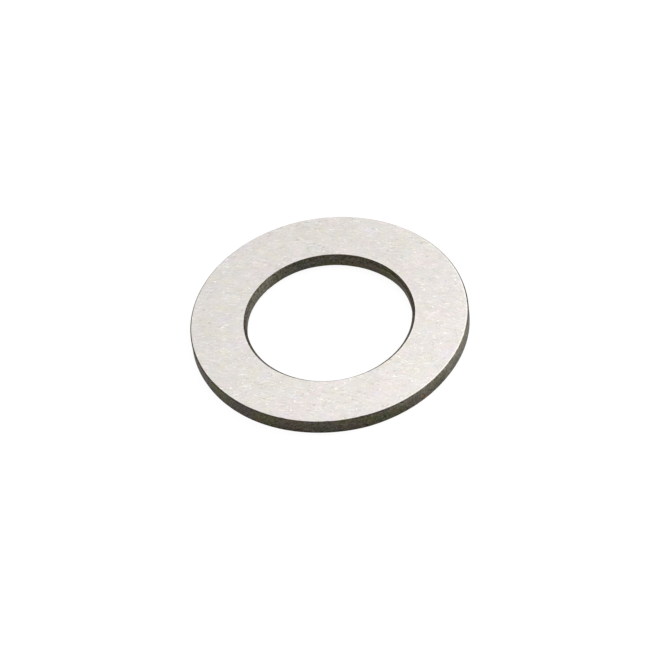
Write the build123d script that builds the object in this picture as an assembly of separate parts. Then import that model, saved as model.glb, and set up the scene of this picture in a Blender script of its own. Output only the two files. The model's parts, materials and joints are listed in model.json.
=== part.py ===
from build123d import *
import os

# Shim ring: one flat ring of hardened steel that takes up end play on a 16 mm shaft.
# Its axis is Z, and its lower face lies at Z = 0.

# Sizes, in millimetres
shaft_diameter = 16.0      # the shaft that the ring slides over
bore_clearance = 0.05      # how much wider the bore is than the shaft
outside_diameter = 27.0
thickness = 1.6            # from ground face to ground face
bore_bevel = 0.3           # the 45 degree bevel at each end of the bore, which leads the shaft in
outer_bevel = 0.12         # the 45 degree bevel at both ends of the outer wall, which takes its edges off

bore_diameter = shaft_diameter + bore_clearance
section_width = (outside_diameter - bore_diameter) / 2
section_centre_radius = (outside_diameter + bore_diameter) / 4

def ring_section():
    """The ring's cross-section, standing beside the Z axis: a rectangle with four bevelled corners."""
    with BuildSketch(Plane.XZ) as section:
        with Locations((section_centre_radius, thickness / 2)):
            Rectangle(section_width, thickness)
        corners = section.vertices().sort_by(Axis.X)
        chamfer(corners[:2], length=bore_bevel)
        chamfer(corners[2:], length=outer_bevel)
    return section.sketch

def shim_ring():
    """The whole ring, which is its cross-section carried once round the Z axis."""
    return revolve(ring_section(), axis=Axis.Z)

os.makedirs("parts", exist_ok=True)
export_step(shim_ring(), "parts/shim_ring.step")
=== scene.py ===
import json
import math
from types import SimpleNamespace

import bpy
import numpy as np
from mathutils import Matrix, Vector


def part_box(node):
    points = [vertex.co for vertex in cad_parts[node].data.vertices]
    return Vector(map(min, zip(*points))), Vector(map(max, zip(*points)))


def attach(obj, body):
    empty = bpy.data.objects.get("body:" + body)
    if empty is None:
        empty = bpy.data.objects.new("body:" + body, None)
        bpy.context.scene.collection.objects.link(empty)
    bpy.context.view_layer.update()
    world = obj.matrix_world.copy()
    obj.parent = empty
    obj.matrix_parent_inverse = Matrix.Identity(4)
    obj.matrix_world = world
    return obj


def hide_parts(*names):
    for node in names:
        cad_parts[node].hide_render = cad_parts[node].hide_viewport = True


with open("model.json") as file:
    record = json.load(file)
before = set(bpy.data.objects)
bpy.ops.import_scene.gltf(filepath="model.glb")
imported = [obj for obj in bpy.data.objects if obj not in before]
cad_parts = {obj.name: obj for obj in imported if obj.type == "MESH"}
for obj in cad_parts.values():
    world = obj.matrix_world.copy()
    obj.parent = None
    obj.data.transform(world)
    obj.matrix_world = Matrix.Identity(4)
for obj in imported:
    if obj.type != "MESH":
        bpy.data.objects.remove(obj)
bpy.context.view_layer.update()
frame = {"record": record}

MM = 0.001
MICRON = 0.000001
NODE = "shim_ring"

# The ring's sizes, in metres, read from the frame
ring_low, ring_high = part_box(NODE)
MOUNTS = {mount["name"]: mount for mount in frame["record"]["mounts"]}
OUTSIDE_RADIUS = MOUNTS["outer_wall"]["dims"]["r_mm"] * MM
BORE_RADIUS = MOUNTS["bore"]["dims"]["r_mm"] * MM
THICKNESS = ring_high.z - ring_low.z
BORE_BEVEL = (THICKNESS - MOUNTS["bore"]["dims"]["length_mm"] * MM) / 2
OUTER_BEVEL = (THICKNESS - MOUNTS["outer_wall"]["dims"]["length_mm"] * MM) / 2
RING_CENTRE = Vector((0, 0, ring_low.z + THICKNESS / 2))


# ---------------------------------------------------------------- shader graphs

class Wire:
    """One socket of a shader graph. An expression on wires and numbers adds its Math nodes."""

    def __init__(self, graph, socket):
        self.graph = graph
        self.socket = socket

    def output(self, name):
        """Another output of the node that this wire leaves."""
        return Wire(self.graph, self.socket.node.outputs[name])

    def maths(self, operation, *values):
        return self.graph.node("ShaderNodeMath", {"operation": operation}, dict(enumerate(values)))

    def __add__(self, other):
        return self.maths("ADD", self, other)

    def __radd__(self, other):
        return self.maths("ADD", other, self)

    def __sub__(self, other):
        return self.maths("SUBTRACT", self, other)

    def __rsub__(self, other):
        return self.maths("SUBTRACT", other, self)

    def __mul__(self, other):
        return self.maths("MULTIPLY", self, other)

    def __rmul__(self, other):
        return self.maths("MULTIPLY", other, self)

    def __truediv__(self, other):
        return self.maths("DIVIDE", self, other)

    def __abs__(self):
        return self.maths("ABSOLUTE", self)


class Graph:
    """The nodes of one material, world or lamp."""

    def __init__(self, tree):
        self.tree = tree
        tree.nodes.clear()

    def node(self, kind, settings=None, inputs=None):
        """Adds one node. Its settings are set first, and then its sockets get their values or wires.

        The wire that comes back leaves its first output that is in use."""
        made = self.tree.nodes.new(kind)
        for name, value in (settings or {}).items():
            setattr(made, name, value)
        for key, value in (inputs or {}).items():
            if isinstance(value, Wire):
                self.tree.links.new(value.socket, made.inputs[key])
            else:
                made.inputs[key].default_value = value
        used = [socket for socket in made.outputs if socket.enabled]
        return Wire(self, used[0]) if used else None

    def fade(self, value, start, stop, low=0.0, high=1.0):
        """Goes smoothly from low to high while the value goes from start to stop."""
        return self.node("ShaderNodeMapRange", {"interpolation_type": "SMOOTHSTEP"},
                         {"Value": value, "From Min": start, "From Max": stop, "To Min": low, "To Max": high})

    def blend(self, share, first, second):
        """A colour that goes from the first to the second as the share goes from 0 to 1."""
        return self.node("ShaderNodeMix", {"data_type": "RGBA"}, {0: share, 6: first, 7: second})

    def noise(self, place, detail=2.0):
        """Smooth noise about as often below 0 as above it, mostly within -0.5 and 0.5."""
        made = self.node("ShaderNodeTexNoise", {}, {"Vector": place, "Scale": 1.0, "Detail": detail})
        return (made - 0.5) * 2

    def scaled(self, place, x, y, z, shift=0.0):
        """The place with each of its three numbers multiplied, and moved to another part of the noise."""
        return self.node("ShaderNodeVectorMath", {"operation": "MULTIPLY_ADD"},
                         {0: place, 1: (x, y, z), 2: (shift, -shift, shift * 0.5)})

    def even_noise(self, place, fineness, shift, detail=2.0):
        """Noise that is as fine in every direction, with about this many waves to the millimetre."""
        return self.noise(self.scaled(place, fineness, fineness, fineness, shift), detail)

    def along(self, place, direction):
        """How far the place lies along a direction."""
        return self.node("ShaderNodeVectorMath", {"operation": "DOT_PRODUCT"}, {0: place, 1: direction})

    def apart(self, place, other):
        """How far the place lies from another one."""
        return self.node("ShaderNodeVectorMath", {"operation": "DISTANCE"}, {0: place, 1: other})

    def joined(self, x, y, z):
        """The place with these three numbers."""
        return self.node("ShaderNodeCombineXYZ", {}, {0: x, 1: y, 2: z})


# ---------------------------------------------------------------- the ring's surface

# The four rims, in the order in which the section's loop meets them
OUTER_LOWER, OUTER_UPPER, BORE_UPPER, BORE_LOWER = RIMS = range(4)
# How much wider than its nominal size each bevel was cut, and how far off centre, towards which azimuth
RIM_EXCESS = np.array([-0.02, 0.0, -0.03, 0.05]) * MM
RIM_BEVELS = np.array([OUTER_BEVEL, OUTER_BEVEL, BORE_BEVEL, BORE_BEVEL]) + RIM_EXCESS
RIM_RUNOUT = np.array([0.06, 0.0, 0.045, 0.0]) * MM
RIM_RUNOUT_AZIMUTH = np.radians([25, -90, -90, 0])
RIM_WAVES = np.array([2, 3, 5, 9, 17])     # how often each wave of a bevel's width repeats round the ring
RIM_WAVE_HEIGHT = 0.004 * MM
# The small dents in the rims: how many in each, and their least and most half width and depth, in millimetres
DENTS_PER_RIM = 6
DENT_HALF_WIDTHS = (0.1, 0.3)
DENT_DEPTHS = (0.01, 0.04)
RIM_SEED = 16     # settles where the waves and the dents fall
# Where a rim is worn, or was left narrower: the rim, the azimuth and half width in degrees, and how much
# wider its bevel is there, in millimetres
RIM_WEAR = [
    (OUTER_LOWER, -160, 10, 0.06), (OUTER_LOWER, -135, 8, -0.015), (OUTER_LOWER, -108, 9, 0.03),
    (OUTER_LOWER, -80, 9, -0.05), (OUTER_LOWER, -40, 13, 0.095), (OUTER_LOWER, -14, 6, -0.05),
    (OUTER_UPPER, -42, 15, 0.035), (OUTER_UPPER, -138, 15, 0.02), (OUTER_UPPER, 50, 20, 0.035),
    (OUTER_UPPER, 127, 20, 0.035), (BORE_UPPER, -97, 28, 0.05),
    (BORE_LOWER, 20, 13, 0.16), (BORE_LOWER, 62, 22, -0.1), (BORE_LOWER, 110, 14, 0.045),
    (BORE_LOWER, 142, 10, 0.03), (BORE_LOWER, 162, 13, 0.11)]
NARROWEST_BEVEL = 0.03 * MM
# How far both edges of each bevel are rounded: the arcs' radii, in the order in which the loop meets them.
# Where a bevel meets a face its edge is crisp, because the faces were ground last. Where it meets a wall it
# is soft.
RIM_SOFTNESS = np.array([(0.01, 0.03), (0.15, 0.02), (0.02, 0.2), (0.2, 0.02)]) * MM
# Where the ring is laid out flat for its baked finish: in how many strips, and the gap at a strip's sides as
# a share of it
BAKE_STRIPS, BAKE_GAP = 2, 0.004


def way_round(azimuth, place):
    """The way round the axis from a place to each azimuth, in radians, from -pi to pi."""
    return np.angle(np.exp(1j * (azimuth - place)))


def rim_bevels(azimuth):
    """How wide each of the four bevels is at each azimuth, as an array of azimuths by rims.

    At azimuth a it is the rim's bevel + run-out cos(a - its azimuth) + sum of height cos(n a + phase)
    + sum of depth exp(-(d / half width)^2), where n are the waves' numbers, and d is the way round to each
    dent or worn place. It is never under the narrowest."""
    chance = np.random.default_rng(RIM_SEED)
    dents_shape = (len(RIMS), DENTS_PER_RIM)
    phase = chance.uniform(0, 2 * math.pi, (len(RIMS), len(RIM_WAVES)))
    waves = RIM_WAVE_HEIGHT * np.cos(azimuth[:, None, None] * RIM_WAVES + phase)
    place = chance.uniform(0, 2 * math.pi, dents_shape)
    half_width = chance.uniform(*DENT_HALF_WIDTHS, dents_shape) * MM / OUTSIDE_RADIUS
    depth = chance.uniform(*DENT_DEPTHS, dents_shape) * MM
    dents = depth * np.exp(-(way_round(azimuth[:, None, None], place) / half_width) ** 2)
    runout = RIM_RUNOUT * np.cos(azimuth[:, None] - RIM_RUNOUT_AZIMUTH)
    bevels = RIM_BEVELS + runout + waves.sum(axis=2) + dents.sum(axis=2)
    for rim, worn_azimuth, worn_half_width, wider in RIM_WEAR:
        way = np.degrees(way_round(azimuth, math.radians(worn_azimuth)))
        bevels[:, rim] += wider * MM * np.exp(-(way / worn_half_width) ** 2)
    return np.maximum(bevels, NARROWEST_BEVEL)


def section_loops(bevels, face_steps, wall_steps, rim_steps):
    """The ring's cross-section at each azimuth, as a closed loop of (radius, height) and outward normals.

    It is a rectangle from the bore to the outside and from the lower to the upper face, with its four
    corners bevelled at 45 degrees and both edges of each bevel rounded. The edge between two sides of
    normals m and n has its arc's centre at edge - softness (m + n) / (1 + m . n). The loop runs outwards
    along the lower face, up the outer wall, inwards along the upper face and down the bore."""
    sharp = np.array([(OUTSIDE_RADIUS, ring_low.z), (OUTSIDE_RADIUS, ring_high.z),
                      (BORE_RADIUS, ring_high.z), (BORE_RADIUS, ring_low.z)])
    arcs, arc_normals = [], []
    for rim in RIMS:
        turn = math.radians(-90 + 90 * rim) + np.linspace(0, math.pi / 2, 2 * rim_steps + 1)
        outward = np.stack([np.cos(turn), np.sin(turn)], axis=1)
        before, slope, after = outward[0], outward[rim_steps], outward[-1]
        bevel = bevels[:, rim, None]
        soft, other_soft = RIM_SOFTNESS[rim]
        first = sharp[rim] - bevel * after - soft * (before + slope) / (1 + before @ slope)
        second = sharp[rim] - bevel * before - other_soft * (slope + after) / (1 + slope @ after)
        arc_normals += [outward[:rim_steps + 1], outward[rim_steps:]]
        arcs += [first[:, None] + soft * arc_normals[-2], second[:, None] + other_soft * arc_normals[-1]]
    points, normals = [], []
    for rim, steps in zip(RIMS, [wall_steps, face_steps, wall_steps, face_steps]):
        first, second = 2 * rim, 2 * rim + 1
        start, stop = arcs[second][:, -1:], arcs[(second + 1) % len(arcs)][:, :1]
        share = (np.arange(1, steps) / steps)[:, None]
        points += [arcs[first], arcs[second], start + (stop - start) * share]
        flat = np.repeat(arc_normals[second][-1:], steps - 1, axis=0)
        normals += [arc_normals[first], arc_normals[second], flat]
    return np.concatenate(points, axis=1), np.concatenate(normals)


def bake_map(mesh, loop, turns):
    """Lays the ring out flat as upright strips, one for each half turn, side by side.

    Across a strip runs the way round the section, and up it runs the azimuth."""
    strip_turns = turns // BAKE_STRIPS
    closed = np.concatenate([loop, loop[:1]])
    way = np.concatenate([[0], np.cumsum(np.linalg.norm(np.diff(closed, axis=0), axis=1))])
    way /= way[-1]
    turn, row = np.meshgrid(np.arange(turns), np.arange(len(loop)), indexing="ij")
    strip = turn // strip_turns
    up = (turn - strip * strip_turns) / strip_turns
    step = BAKE_STRIPS / turns
    across = np.stack([way[row], way[row], way[row + 1], way[row + 1]], axis=2)
    height = np.stack([up, up + step, up + step, up], axis=2)
    u = (strip[:, :, None] + BAKE_GAP + across * (1 - 2 * BAKE_GAP)) / BAKE_STRIPS
    v = BAKE_GAP + height * (1 - 2 * BAKE_GAP)
    layer = mesh.uv_layers.new(name="OFBake")
    layer.data.foreach_set("uv", np.stack([u, v], axis=3).ravel())


def ring_piece(name, turns, **steps):
    """The ring as one closed surface: its section carried once round the Z axis.

    At azimuth a, a loop point of radius r and height z goes to (r cos a, r sin a, z). The normal there
    is the tangent round the ring crossed with the tangent along the section."""
    azimuth = np.arange(turns) * (2 * math.pi / turns)
    loops, outward = section_loops(rim_bevels(azimuth), **steps)
    round_axis = np.stack([np.cos(azimuth), np.sin(azimuth)], axis=1)[:, None, :]
    points = np.concatenate([round_axis * loops[:, :, :1], loops[:, :, 1:]], axis=2)
    upright = np.broadcast_to(outward[None, :, :1], points[:, :, :1].shape)
    along_section = np.concatenate([round_axis * -outward[None, :, 1:], upright], axis=2)
    along_turn = np.roll(points, -1, axis=0) - np.roll(points, 1, axis=0)
    normals = np.cross(along_turn, along_section)
    normals /= np.linalg.norm(normals, axis=2, keepdims=True)

    count = points.shape[1]
    column, row = np.meshgrid(np.arange(turns), np.arange(count), indexing="ij")
    here, beyond = column * count, (column + 1) % turns * count
    above = (row + 1) % count
    quads = np.stack([here + row, beyond + row, beyond + above, here + above], axis=2).reshape(-1, 4)

    mesh = bpy.data.meshes.new(name)
    mesh.from_pydata(points.reshape(-1, 3), [], quads)
    mesh.polygons.foreach_set("use_smooth", np.ones(len(quads), dtype=bool))
    bake_map(mesh, loops.mean(axis=0), turns)
    mesh.normals_split_custom_set_from_vertices(normals.reshape(-1, 3))
    piece = bpy.data.objects.new(name, mesh)
    bpy.context.scene.collection.objects.link(piece)
    return piece


# ---------------------------------------------------------------- the finish

# Colours of the ground steel
ROSY_STEEL = (0.803, 0.751, 0.727, 1)
COOL_STEEL = (0.772, 0.760, 0.747, 1)
WARM_STEEL = (0.792, 0.758, 0.706, 1)
YELLOW_STEEL = (0.797, 0.763, 0.670, 1)
VIOLET_STEEL = (0.797, 0.748, 0.772, 1)
PINK_STEEL = (0.840, 0.744, 0.719, 1)
GREEN_STEEL = (0.756, 0.773, 0.722, 1)
# Colours of the scale
SCALE_OLIVE = (0.071, 0.067, 0.042, 1)
SCALE_BROWN = (0.086, 0.070, 0.050, 1)
SCALE_MOSS = (0.080, 0.078, 0.038, 1)
SCALE_GREEN = (0.066, 0.078, 0.046, 1)
SCALE_VIOLET = (0.084, 0.070, 0.066, 1)
SCALE_BLUE = (0.065, 0.066, 0.056, 1)
SCALE_RUST = (0.165, 0.085, 0.045, 1)
# Painted light on the scale: the paler grey where the walls catch the lamps' light
SCALE_PAINTED_LIGHT = (0.145, 0.134, 0.104, 1)

# The grinding strokes: angle in degrees, length and width in millimetres, and strength. The scratches are
# strokes of their own. All lie along arcs of a large circle, whose radius is in millimetres
GRIND_ARC_RADIUS = 70.0
GRIND_STROKES = [(152, 0.85, 0.085, 1.0), (20, 0.6, 0.08, 0.6), (96, 0.5, 0.08, 0.45), (60, 0.55, 0.09, 0.4)]
SCRATCHES = [(-8, 1.2, 0.12), (35, 0.6, 0.11), (120, 0.5, 0.11)]
STROKE_SHIFT, SCRATCH_SHIFT = 11.3, 7.7     # how far apart in the noise they lie
# A dot's core, at its full strength, as a share of its size, and how sharply the cells with a dot are chosen
DOT_CORE = 0.3
DOT_CHOICE_BLEND = 0.02

# The tone of the ground steel, and how much its marks lighten or, for pits and nicks, darken it. The bright
# specks' tone is a painted glint, and the rim's a painted highlight on the lit side
STEEL_TONE = 0.985
STROKE_TONE, GRAIN_TONE, SCRATCH_TONE, SHADE_TONE = 0.18, 0.09, 0.45, 0.08
GLINT_TONE, PIT_TONE, FLECK_TONE, NICK_TONE, RIM_HIGHLIGHT_TONE = 0.7, 0.5, 0.27, 0.3, 0.14
# The same for the scale, whose bright specks are painted glints too
SCALE_TONE = 0.95
SCALE_STREAK_TONE, SCALE_MOTTLE_TONE, SCALE_GRAIN_TONE, SCALE_GLINT_TONE = 0.45, 0.35, 1.4, 2.0
# Painted light: the outer wall grows paler upwards, for the light that its top catches and the floor's shadow
# that its foot reflects
PAINTED_RISE_TONE = 0.14      # how much paler the outer wall gets with each millimetre upwards
# How high the marks stand, or how deep the pits are, in microns
STROKE_HEIGHT, GRAIN_HEIGHT, PIT_DEPTH, GLINT_SPECK_HEIGHT = 2.2, 1.2, 3.0, 1.5
STREAK_HEIGHT, MOTTLE_HEIGHT = 3.0, 4.0
STEEL_ROUGHNESS, SCALE_ROUGHNESS = 0.44, 0.6
STROKE_ROUGHNESS, MOTTLE_ROUGHNESS = 0.03, 0.06     # how much strokes and mottle change it

# The finish's sizes are all in millimetres
HALF_THICKNESS = THICKNESS / MM / 2
# The flat part of the faces, between the bevels: the radius of its middle, and its width
FACE_RADIUS = (OUTSIDE_RADIUS - OUTER_BEVEL + BORE_RADIUS + BORE_BEVEL) / 2 / MM
FACE_WIDTH = (OUTSIDE_RADIUS - OUTER_BEVEL - BORE_RADIUS - BORE_BEVEL) / MM
# The painted highlight along the rims of the face on its lit side: how far from the flat part's edge it
# starts and is full, the direction of that side, and how far along it the highlight starts and is full
RIM_HIGHLIGHT_GAPS = (0.2, 0.08)
LIT_SIDE = (0.97, -0.25, 0)
LIT_SIDE_REACH = (2.0, 12.5)
# Where the ground steel meets the scale: how far under the face, how far that edge wavers, and half the
# width over which the two blend. The face's inner edge is a circle slightly off centre, with its own waver
# and blend
EDGE_DEPTH, EDGE_WAVER, EDGE_BLEND = 0.006, 0.004, 0.003
BORE_RIM_RADIUS = (BORE_RADIUS + BORE_BEVEL) / MM
BORE_RIM_CENTRE = (0.018, -0.066, 0)
BORE_RIM_WAVER, BORE_RIM_BLEND = 0.01, 0.006
# Two radii between the bore and the outer wall, over which the outer wall's painted light, paler upwards,
# sets in
BETWEEN_WALLS = (9.0, 12.0)
# Places where the heat, or wear, left the scale another colour, and, in the grey ones, painted light where
# the walls catch the lamps' light: radius of the wall, azimuth in degrees, height, half width, half height,
# share of the colour, and the colour
BORE, OUTSIDE = BORE_RADIUS / MM, OUTSIDE_RADIUS / MM
SCALE_PATCHES = [
    (BORE, 140, 0.9, 3.4, 1.6, 0.9, SCALE_PAINTED_LIGHT), (BORE, 126, 0.6, 1.0, 0.7, 0.6, SCALE_MOSS),
    (BORE, 117, 0.4, 0.6, 0.3, 0.8, SCALE_VIOLET), (BORE, 106, 0.7, 1.7, 1.2, 0.65, SCALE_BLUE),
    (BORE, 68, 0.9, 1.6, 1.2, 0.6, SCALE_BROWN), (BORE, 37, 1.1, 1.0, 0.7, 0.8, SCALE_MOSS),
    (BORE, 23, 1.0, 1.0, 0.9, 0.7, SCALE_BROWN),
    (OUTSIDE, -39, 0.8, 6.2, 3.4, 0.95, SCALE_PAINTED_LIGHT), (OUTSIDE, -66, 1.6, 4.0, 0.35, 0.6, SCALE_PAINTED_LIGHT),
    (OUTSIDE, -162, 0.8, 1.5, 1.5, 0.7, SCALE_VIOLET),
    (OUTSIDE, -144, 0.8, 1.0, 0.8, 0.8, SCALE_MOSS), (OUTSIDE, -135, 0.8, 1.6, 1.5, 0.55, SCALE_VIOLET),
    (OUTSIDE, -124, 0.9, 1.0, 0.7, 0.8, SCALE_MOSS), (OUTSIDE, -127, 0.5, 0.35, 0.25, 0.7, SCALE_RUST),
    (OUTSIDE, -111, 0.8, 1.6, 1.5, 0.6, SCALE_BROWN), (OUTSIDE, -97, 0.6, 1.2, 1.0, 0.6, SCALE_BLUE),
    (OUTSIDE, -86, 0.9, 1.2, 1.2, 0.6, SCALE_BROWN), (OUTSIDE, -74, 0.7, 0.9, 0.6, 0.8, SCALE_GREEN),
    (OUTSIDE, -73, 1.5, 0.7, 0.2, 0.9, SCALE_VIOLET), (OUTSIDE, -67, 0.4, 1.0, 0.5, 0.9, SCALE_MOSS),
    (OUTSIDE, -60, 0.8, 0.9, 0.8, 0.3, SCALE_VIOLET), (OUTSIDE, -54.3, 0.5, 0.38, 0.33, 0.7, SCALE_RUST),
    (OUTSIDE, -46, 0.8, 1.0, 0.8, 0.5, SCALE_MOSS)]
# How ragged a patch's edge is, and at how many half widths from its centre it starts and is full
PATCH_RAGGEDNESS = 0.9
PATCH_EDGE = (1.5, 0.3)


def stroke_noise(graph, place, angle, length, width, shift):
    """Noise drawn out into short strokes, that lie along arcs of a large circle.

    Across the strokes it goes with the distance from that circle's centre, and along them with the
    distance in the direction of the angle."""
    a = math.radians(angle)
    centre = (-GRIND_ARC_RADIUS * math.sin(a), GRIND_ARC_RADIUS * math.cos(a), 0)
    across = graph.apart(place, centre)
    forward = graph.along(place, (math.cos(a), math.sin(a), 0))
    return graph.noise(graph.joined(forward / length, across / width, shift))


def along_and_across(graph, place, angle, length, width):
    """The place as steps of a length along an angle, and of a width across it."""
    a = math.radians(angle)
    return graph.joined(graph.along(place, (math.cos(a) / length, math.sin(a) / length, 0)),
                        graph.along(place, (-math.sin(a) / width, math.cos(a) / width, 0)), 0.0)


def dots(graph, place, share, size):
    """Dots of mixed strength: one in some of the cells of a random pattern, fading out at its size."""
    cells = graph.node("ShaderNodeTexVoronoi", {}, {"Vector": place, "Scale": 1.0})
    chosen = graph.node("ShaderNodeSeparateColor", {}, {0: cells.output("Color")})
    strength = chosen.output("Green")
    inside = graph.fade(cells, size, size * DOT_CORE)
    has_dot = graph.fade(chosen, share + DOT_CHOICE_BLEND, share)
    return inside * has_dot * strength * strength


def tinted(graph, colour, tints):
    """The colour with tints laid over it in turn, each where its value goes from a start to a full end."""
    for value, start, full, tint in tints:
        colour = graph.blend(graph.fade(value, start, full), colour, tint)
    return colour


def toned(graph, colour, tone):
    """The colour made lighter or darker."""
    return graph.node("ShaderNodeVectorMath", {"operation": "SCALE"}, {0: colour, "Scale": tone})


def surface_marks(graph, place):
    """The marks that shape the surface too: on the steel crossing strokes, a fine grain, specks and pits, and
    on the scale streaks round the ring and a mottle. The specks are painted glints on the steel and the
    scale, and small bumps on the steel."""
    strokes = 0.0
    for k, (angle, length, width, strength) in enumerate(GRIND_STROKES, start=1):
        strokes = strokes + stroke_noise(graph, place, angle, length, width, STROKE_SHIFT * k) * strength
    return SimpleNamespace(
        strokes=strokes,
        grain=graph.even_noise(place, fineness=5.5, shift=3.1),
        # Painted glints: bright specks, which also stand as small bumps on the steel
        painted_glint_specks=dots(graph, graph.scaled(place, 1.6, 1.6, 1.6), share=0.5, size=0.16),
        pits=dots(graph, graph.scaled(place, 1.3, 1.3, 1.3, shift=40.0), share=0.4, size=0.11),
        streaks=graph.noise(graph.scaled(place, 0.35, 0.35, 9.0, shift=60.0), detail=3.0),
        mottle=graph.noise(graph.scaled(place, 1.7, 1.7, 2.4, shift=70.0), detail=3.0))


def steel_colour(graph, place, radius, marks):
    """The ground faces: the marks, coarser in some places than in others, with scratches, flecks, nicks and
    soft shades, over faint tints, with painted glints in the specks and a painted highlight along the rims on
    the lit side."""
    coarseness = graph.fade(graph.even_noise(place, fineness=0.9, shift=47.0), -0.25, 0.4, low=0.55, high=1.6)
    scratches = 0.0
    for k, (angle, length, width) in enumerate(SCRATCHES, start=9):
        stroke = stroke_noise(graph, place, angle, length, width, SCRATCH_SHIFT * k)
        scratches = scratches + graph.fade(stroke, 0.3, 0.55)
    shade = graph.even_noise(place, fineness=0.7, shift=5.0, detail=3.0)
    slanted = along_and_across(graph, place, angle=-28, length=0.8, width=0.42)
    flecks = dots(graph, slanted, share=0.45, size=0.32)
    level = along_and_across(graph, place, angle=12, length=0.7, width=0.38)
    nicks = dots(graph, level, share=0.5, size=0.3)
    # A painted highlight along the face's rims, on the lit side of the ring
    rim_gap = FACE_WIDTH / 2 - abs(radius - FACE_RADIUS)
    lit_side = graph.fade(graph.along(place, LIT_SIDE), *LIT_SIDE_REACH)
    painted_rim_highlight = graph.fade(rim_gap, *RIM_HIGHLIGHT_GAPS) * lit_side
    # The specks' tone is a painted glint, and the rim's a painted highlight
    tone = (STEEL_TONE + (marks.strokes * STROKE_TONE + marks.grain * GRAIN_TONE) * coarseness
            + scratches * SCRATCH_TONE + shade * SHADE_TONE
            + marks.painted_glint_specks * GLINT_TONE - marks.pits * PIT_TONE
            + flecks * FLECK_TONE - nicks * NICK_TONE + painted_rim_highlight * RIM_HIGHLIGHT_TONE)
    cloud = graph.even_noise(place, fineness=0.8, shift=21.0)
    other_cloud = graph.even_noise(place, fineness=0.9, shift=33.0)
    broad = graph.even_noise(place, fineness=0.33, shift=51.0, detail=1.0)
    tints = [(broad, -0.22, 0.22, COOL_STEEL), (cloud + broad, -0.3, 0.4, WARM_STEEL),
             (cloud, 0.2, 0.5, YELLOW_STEEL), (cloud, -0.2, -0.5, VIOLET_STEEL),
             (other_cloud, 0.23, 0.55, PINK_STEEL), (other_cloud, -0.25, -0.5, GREEN_STEEL)]
    return toned(graph, tinted(graph, ROSY_STEEL, tints), tone)


def scale_colour(graph, place, radius, rise, marks):
    """The scale on the walls: its marks, with painted glints in the specks, over tints from the heat, patches
    of other colours, the grey ones painted light, and painted light that makes the outer wall paler upwards.
    """
    tint = graph.noise(graph.scaled(place, 0.5, 0.5, 0.7, shift=80.0))
    other_tint = graph.noise(graph.scaled(place, 0.65, 0.65, 0.9, shift=90.0))
    colour = tinted(graph, SCALE_OLIVE, [(tint, -0.3, 0.3, SCALE_BROWN),
                                         (other_tint, 0.06, 0.3, SCALE_VIOLET),
                                         (other_tint, -0.06, -0.3, SCALE_MOSS)])
    for wall_radius, angle, middle, half_width, half_height, share, patch_colour in SCALE_PATCHES:
        a, squash = math.radians(angle), half_width / half_height
        centre = (wall_radius * math.cos(a), wall_radius * math.sin(a), middle * squash)
        away = graph.apart(graph.scaled(place, 1, 1, squash), centre)
        away = away / half_width + marks.mottle * PATCH_RAGGEDNESS
        colour = graph.blend(graph.fade(away, *PATCH_EDGE) * share, colour, patch_colour)
    # Painted light: the outer wall paler towards its top
    painted_light_above = rise * graph.fade(radius, *BETWEEN_WALLS)
    # The specks' tone here is a painted glint too
    tone = (SCALE_TONE + marks.streaks * SCALE_STREAK_TONE + marks.mottle * SCALE_MOTTLE_TONE
            + marks.grain * SCALE_GRAIN_TONE + marks.painted_glint_specks * SCALE_GLINT_TONE
            + painted_light_above * PAINTED_RISE_TONE)
    return toned(graph, colour, tone)


def ring_material():
    """Ground steel on the faces and scale on the bevels and walls.

    Grinding cut the scale off where the faces are, and left a slightly uneven edge at the rims."""
    material = bpy.data.materials.new("ground_steel")
    material.use_nodes = True
    graph = Graph(material.node_tree)
    metres = graph.node("ShaderNodeTexCoord").output("Object")
    place = graph.scaled(metres, 1 / MM, 1 / MM, 1 / MM)
    flat = graph.scaled(place, 1, 1, 0)
    radius = graph.apart(flat, (0, 0, 0))
    rise = graph.node("ShaderNodeSeparateXYZ", {}, {0: place}).output("Z") - HALF_THICKNESS
    depth = HALF_THICKNESS - abs(rise)

    marks = surface_marks(graph, place)
    steel = steel_colour(graph, place, radius, marks)
    scale = scale_colour(graph, place, radius, rise, marks)
    edge = EDGE_DEPTH + marks.mottle * EDGE_WAVER
    bore_rim = graph.apart(flat, BORE_RIM_CENTRE) - BORE_RIM_RADIUS
    ground = (graph.fade(depth - edge, EDGE_BLEND, -EDGE_BLEND)
              * graph.fade(bore_rim - marks.mottle * BORE_RIM_WAVER, -BORE_RIM_BLEND, BORE_RIM_BLEND))
    colour = graph.blend(ground, scale, steel)
    smoother = STEEL_ROUGHNESS - SCALE_ROUGHNESS - MOTTLE_ROUGHNESS * marks.mottle
    rough = (SCALE_ROUGHNESS + marks.mottle * MOTTLE_ROUGHNESS
             + ground * (smoother + marks.strokes * STROKE_ROUGHNESS))
    steel_height = (marks.strokes * STROKE_HEIGHT + marks.grain * GRAIN_HEIGHT - marks.pits * PIT_DEPTH
                    + marks.painted_glint_specks * GLINT_SPECK_HEIGHT)
    scale_height = marks.streaks * STREAK_HEIGHT + marks.mottle * MOTTLE_HEIGHT
    height = steel_height * ground + scale_height * (1 - ground)
    bump = graph.node("ShaderNodeBump", {}, {"Strength": 1.0, "Distance": MICRON, "Height": height})
    surface = graph.node("ShaderNodeBsdfPrincipled", {},
                         {"Base Color": colour, "Metallic": 1.0, "Roughness": rough, "Normal": bump})
    graph.node("ShaderNodeOutputMaterial", {}, {"Surface": surface})
    return material


ring = ring_piece("ring_body", turns=1500, face_steps=6, wall_steps=4, rim_steps=4)
ring.data.materials.append(ring_material())
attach(ring, "root")
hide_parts(NODE)


# ---------------------------------------------------------------- the studio

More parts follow.
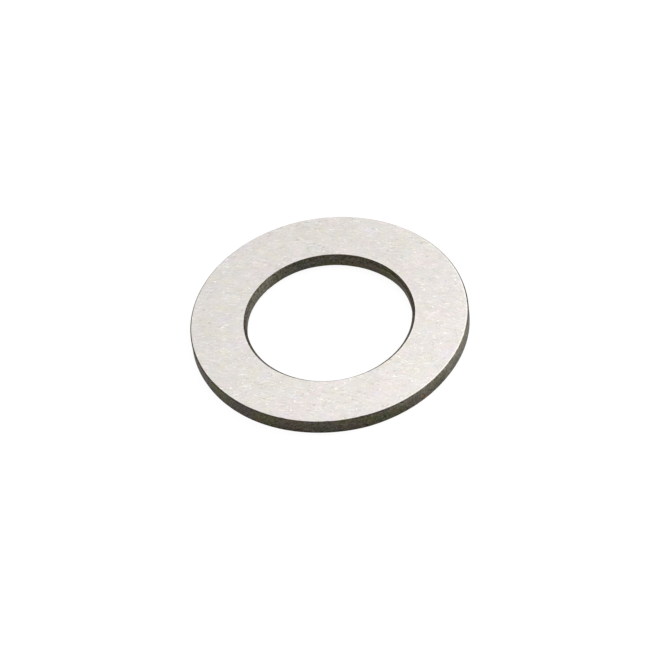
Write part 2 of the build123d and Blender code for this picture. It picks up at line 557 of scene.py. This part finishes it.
WHITE = (1, 1, 1, 1)
FLOOR_HALF = 3.0
FLOOR_COLOUR = (0.8, 0.8, 0.8, 1)
FLOOR_SEEN = (0.15, 0.15, 0.15, 1)     # the floor's colour for the camera, which leaves only a faint shadow
FLOOR_WHITE = 0.91      # what the floor adds for the camera, so that it shows as white
FLOOR_GLOW = 0.41       # what it adds in the reflections
ROOM_LIGHT = 0.73       # the strength of the room's light, which the camera sees as white


def studio_floor():
    """A square sheet of white paper under the ring."""
    corners = [(-1, -1), (1, -1), (1, 1), (-1, 1)]
    mesh = bpy.data.meshes.new("floor")
    mesh.from_pydata([(x * FLOOR_HALF, y * FLOOR_HALF, ring_low.z) for x, y in corners], [], [(0, 1, 2, 3)])
    floor = bpy.data.objects.new("floor", mesh)
    bpy.context.scene.collection.objects.link(floor)
    material = bpy.data.materials.new("white_paper")
    material.use_nodes = True
    graph = Graph(material.node_tree)
    rays = graph.node("ShaderNodeLightPath")
    mirrored = rays.output("Is Glossy Ray") + rays.output("Is Transmission Ray")
    seen = rays.output("Is Camera Ray")
    paper = graph.node("ShaderNodeBsdfDiffuse", {}, {"Color": graph.blend(seen, FLOOR_COLOUR, FLOOR_SEEN)})
    strength = seen * FLOOR_WHITE + mirrored * FLOOR_GLOW
    glow = graph.node("ShaderNodeEmission", {}, {"Color": WHITE, "Strength": strength})
    both = graph.node("ShaderNodeAddShader", {}, {0: paper, 1: glow})
    graph.node("ShaderNodeOutputMaterial", {}, {"Surface": both})
    mesh.materials.append(material)


def studio_world():
    """A plain white room all round."""
    world = bpy.data.worlds.new("white_room")
    bpy.context.scene.world = world
    world.use_nodes = True
    graph = Graph(world.node_tree)
    rays = graph.node("ShaderNodeLightPath")
    strength = rays.output("Is Camera Ray") * (1 - ROOM_LIGHT) + ROOM_LIGHT
    back = graph.node("ShaderNodeBackground", {}, {"Color": WHITE, "Strength": strength})
    graph.node("ShaderNodeOutputWorld", {}, {"Surface": back})


# The square lamps: how far they stand from the ring and how large they are, and each one's name, azimuth and
# elevation in degrees, and radiance
LAMP_DISTANCE, LAMP_SIDE = 0.12, 0.08
LAMPS = [("low_lamp", 0, 12, 3.23), ("right_lamp", 30, 60, 1.065), ("back_lamp", 90, 60, 0.378)]


def soft_lamp(name, azimuth, elevation, radiance):
    """A square lamp that faces the ring, as bright as a panel of this radiance."""
    data = bpy.data.lights.new(name, "AREA")
    data.shape = "SQUARE"
    data.size = LAMP_SIDE
    data.energy = radiance * math.pi * LAMP_SIDE * LAMP_SIDE
    lamp = bpy.data.objects.new(name, data)
    bpy.context.scene.collection.objects.link(lamp)
    a, e = math.radians(azimuth), math.radians(elevation)
    back = Vector((math.cos(a) * math.cos(e), math.sin(a) * math.cos(e), math.sin(e)))
    lamp.location = RING_CENTRE + back * LAMP_DISTANCE
    lamp.rotation_euler = (-back).to_track_quat("-Z", "Y").to_euler()


# The camera looks along +Y and down, rolled, with a long lens. Lens and sensor are in millimetres
CAMERA_DISTANCE = 319.8 * MM
CAMERA_ELEVATION = math.radians(47.04)
CAMERA_ROLL = math.radians(8.34)
CAMERA_LENS = 183.3
CAMERA_NEAR = 0.01      # nothing nearer than this shows
SENSOR_WIDTH = 36.0
AIM_RIGHT, AIM_UP = -0.459 * MM, -0.308 * MM     # how far from the ring's centre it aims


def studio_camera():
    """The camera, on the line from its aim back at its elevation."""
    data = bpy.data.cameras.new("camera")
    data.sensor_width = SENSOR_WIDTH
    data.lens = CAMERA_LENS
    camera = bpy.data.objects.new("camera", data)
    bpy.context.scene.collection.objects.link(camera)
    back = Vector((0, -math.cos(CAMERA_ELEVATION), math.sin(CAMERA_ELEVATION)))
    turn = (-back).to_track_quat("-Z", "Y").to_matrix() @ Matrix.Rotation(-CAMERA_ROLL, 3, "Z")
    aim = RING_CENTRE + turn @ Vector((AIM_RIGHT, AIM_UP, 0))
    camera.matrix_world = Matrix.LocRotScale(aim + back * CAMERA_DISTANCE, turn.to_quaternion(), None)
    data.clip_start = CAMERA_NEAR
    bpy.context.scene.camera = camera


studio_floor()
studio_world()
studio_camera()
for lamp in LAMPS:
    soft_lamp(*lamp)
bpy.context.scene.view_settings.view_transform = "Standard"
